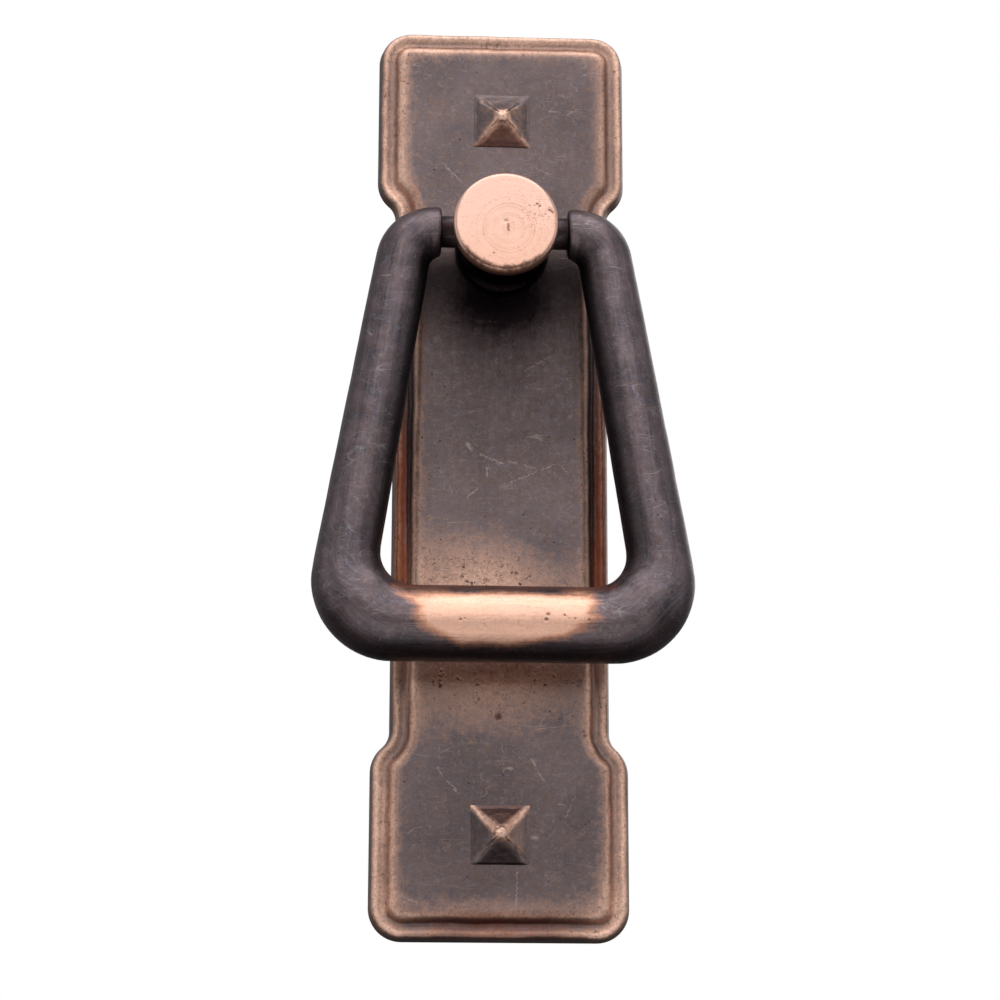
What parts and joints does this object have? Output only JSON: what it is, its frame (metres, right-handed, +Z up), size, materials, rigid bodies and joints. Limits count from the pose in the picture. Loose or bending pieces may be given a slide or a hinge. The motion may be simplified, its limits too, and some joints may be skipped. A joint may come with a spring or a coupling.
{
  "type": "ring pull handle",
  "caption": "Hanging bail pull on a long cast backplate with pyramid bosses; a turned round-headed post carries the swinging bail.",
  "frame": {"origin": "axis of the mounting screw, level with the plate's back face that seats on the drawer front", "axes": "+Z up the long plate, +X to the right seen from the front, +Y into the drawer front; the pull faces -Y"},
  "size_m": [0.0402, 0.0128, 0.1016],
  "materials": {
    "aged_copper_plate": "oxidised copper, rubbed bright on the raised edges",
    "bright_copper_post": "turned copper, bright on the head and dark below it",
    "dark_copper_bail": "dark oxidised copper, polished by use on the bar"
  },
  "bodies": {
    "plate_and_post": {"backplate": "aged_copper_plate", "post": "bright_copper_post"},
    "bail": {"bail": "dark_copper_bail"}
  },
  "joints": [
    {"name": "bail_swing", "type": "hinge", "parent": "plate_and_post", "child": "bail", "pos_m": [0, -0.0086, 0], "axis": [-1, 0, 0], "range_deg": [-2.5, 184]}
  ]
}
